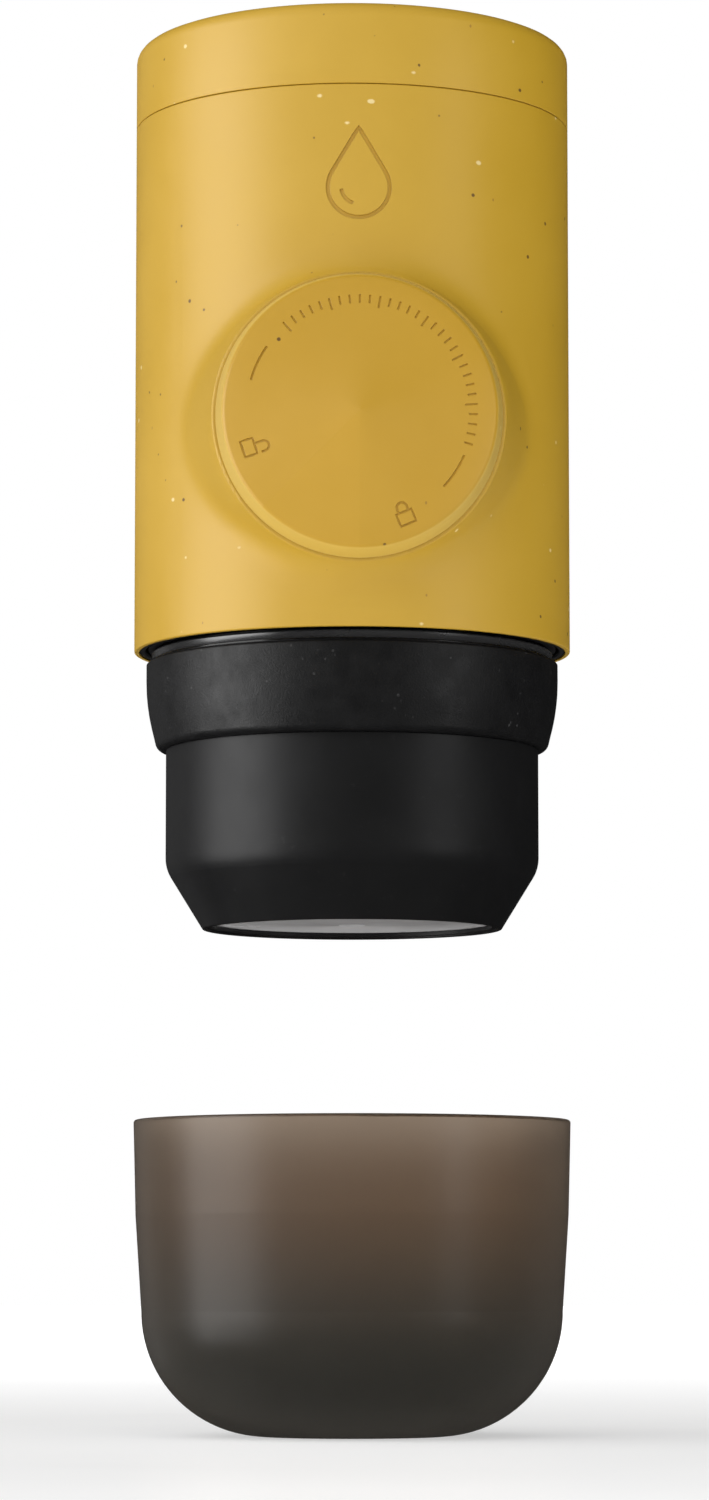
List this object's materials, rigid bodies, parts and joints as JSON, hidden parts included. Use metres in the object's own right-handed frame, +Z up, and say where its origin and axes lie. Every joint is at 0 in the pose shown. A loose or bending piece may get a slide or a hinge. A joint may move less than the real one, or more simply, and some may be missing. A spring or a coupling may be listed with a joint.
{
  "type": "handheld manual espresso maker",
  "caption": "Hand-pumped espresso maker: round body with side press knob, screw-on water tank above, screw-on brew head with basket below, and a slip-on tinted cup, shown taken off.",
  "frame": {"origin": "middle of the cup's base, on the table", "axes": "+Z up along the body and the cup, -Y towards the press knob, the maker held above its cup"},
  "size_m": [0.064, 0.0707, 0.2028],
  "materials": {
    "yellow_plastic": "satin",
    "black_plastic": "satin",
    "soft_black": "matt",
    "frame_plastic": "satin",
    "tinted_cup": "clear, smoke-tinted",
    "tinted_tank": "clear, smoke-tinted",
    "steel": "brushed",
    "spring_steel": "drawn wire",
    "screw_steel": "zinc plated",
    "silicone": "matt",
    "seal_black": "matt",
    "spout_grey": "gloss",
    "white_acetal": "satin"
  },
  "bodies": {
    "housing": {"tank_socket": "frame_plastic", "inner_frame": "frame_plastic", "head_socket": "frame_plastic", "outer_shell": "yellow_plastic", "guide_bush": "frame_plastic", "bush_screws": "screw_steel", "pump_cylinder": "steel", "cylinder_cap": "frame_plastic", "cap_seal": "silicone", "cap_screws": "screw_steel", "inlet_strainer": "steel", "inlet_seat": "white_acetal", "inlet_spring": "spring_steel", "outlet_seat": "white_acetal", "outlet_spring": "spring_steel", "outlet_retainer": "white_acetal", "shower_screen": "steel", "screen_screw": "screw_steel", "return_spring": "spring_steel"},
    "piston": {"piston_rod": "white_acetal", "piston_orings": "seal_black", "rod_washer": "steel", "rod_screw": "screw_steel"},
    "knob": {"knob_cap": "yellow_plastic", "knob_sleeve": "black_plastic"},
    "inlet_valve": {"inlet_poppet": "silicone"},
    "outlet_valve": {"outlet_poppet": "silicone"},
    "tank_seal": {"tank_gasket": "silicone"},
    "tank": {"tank_vessel": "tinted_tank", "tank_cap": "yellow_plastic"},
    "head_seal": {"brew_gasket": "silicone"},
    "outlet_head": {"outlet_bowl": "black_plastic", "grip_collar": "soft_black", "filter_basket": "steel", "collector_funnel": "black_plastic", "spout_plate": "spout_grey", "spout_seal": "silicone"},
    "cup": {"cup": "tinted_cup"}
  },
  "joints": [
    {"name": "piston_press", "type": "slide", "parent": "housing", "child": "piston", "axis": [0, -1, 0], "range_m": [0, 0.01591], "deforming": ["return_spring"]},
    {"name": "knob_turn", "type": "hinge", "parent": "piston", "child": "knob", "pos_m": [0, 0, 0.14365], "axis": [0, 1, 0], "range_deg": [0, 90]},
    {"name": "inlet_open", "type": "slide", "parent": "housing", "child": "inlet_valve", "axis": [0, 0, -1], "range_m": [0, 0.0012], "stiffness_N_per_m": 150, "deforming": ["inlet_spring"]},
    {"name": "outlet_open", "type": "slide", "parent": "housing", "child": "outlet_valve", "axis": [0, 0, -1], "range_m": [0, 0.0012], "stiffness_N_per_m": 150, "deforming": ["outlet_spring"]},
    {"name": "tank_turn", "type": "hinge", "parent": "housing", "child": "tank_seal", "pos_m": [0, 0, 0.1625], "axis": [0, 0, 1], "range_deg": [0, 720]},
    {"name": "tank_rise", "type": "slide", "parent": "tank_seal", "child": "tank", "axis": [0, 0, 1], "range_m": [0, 0.036]},
    {"name": "head_turn", "type": "hinge", "parent": "housing", "child": "head_seal", "pos_m": [0, 0, 0.12165], "axis": [0, 0, -1], "range_deg": [0, 540]},
    {"name": "head_drop", "type": "slide", "parent": "head_seal", "child": "outlet_head", "axis": [0, 0, -1], "range_m": [0, 0.018]},
    {"name": "cup_slip", "type": "slide", "parent": "outlet_head", "child": "cup", "axis": [0, 0, 1], "range_m": [0, 0.0681]}
  ],
  "couplings": [
    {"joint": "tank_rise", "follows": "tank_turn", "m_per_rad": 0.0028648},
    {"joint": "head_drop", "follows": "head_turn", "m_per_rad": 0.0019099}
  ]
}
